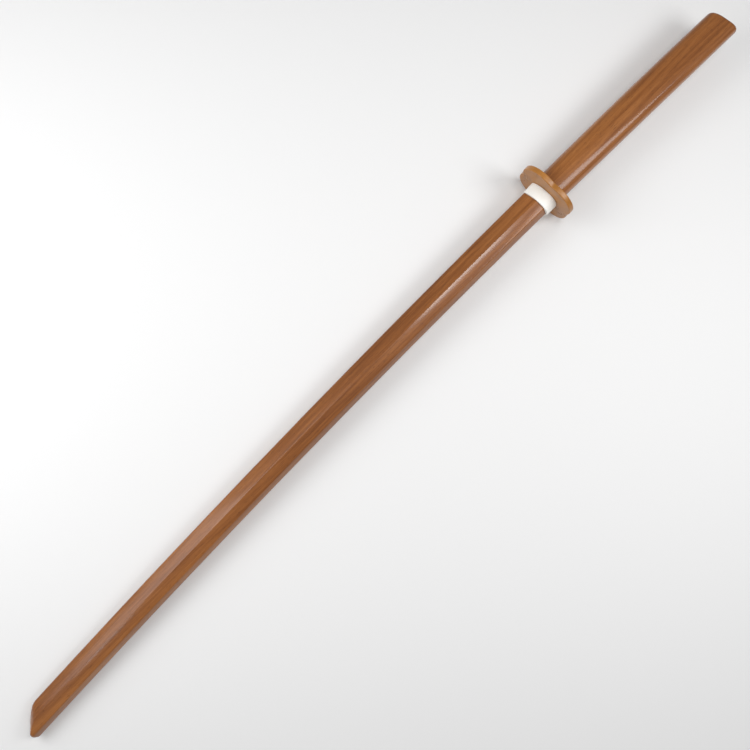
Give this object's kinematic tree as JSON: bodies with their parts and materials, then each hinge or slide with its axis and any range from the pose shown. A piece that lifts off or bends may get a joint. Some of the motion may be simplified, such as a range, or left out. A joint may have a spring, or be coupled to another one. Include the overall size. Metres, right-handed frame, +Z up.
{
  "type": "wooden practice sword",
  "caption": "Gently curved wooden practice sword with an oval handle, a slip-on lobed guard and a rubber ring that holds the guard on.",
  "frame": {"origin": "centre of the overall box at the level of the surface that the sword lies on", "axes": "+X along the sword towards the tip, -Y towards the cutting edge and +Y towards the back, +Z up; the sword lies on its side, on two lobes of the guard and on the blade near the tip"},
  "size_m": [1.0162, 0.0668, 0.0647],
  "materials": {
    "varnished_wood": "satin varnish over straight, fine-grained brown hardwood",
    "guard_plastic": "smooth caramel moulded plastic, satin faces and glossy rim",
    "white_rubber": "smooth white rubber, slightly translucent"
  },
  "bodies": {
    "sword": {"sword_body": "varnished_wood"},
    "guard": {"guard": "guard_plastic"},
    "stopper": {"stopper_ring": "white_rubber"}
  },
  "joints": [
    {"name": "guard_slide", "type": "hinge", "parent": "sword", "child": "guard", "pos_m": [-0.25327, 13.87888, 0.03245], "axis": [0.0319, 0, 0.9995], "range_deg": [0, 3.21]},
    {"name": "stopper_slide", "type": "hinge", "parent": "guard", "child": "stopper", "pos_m": [-0.25327, 13.87888, 0.03245], "axis": [0.0319, 0, 0.9995], "range_deg": [0, 3.19]}
  ]
}
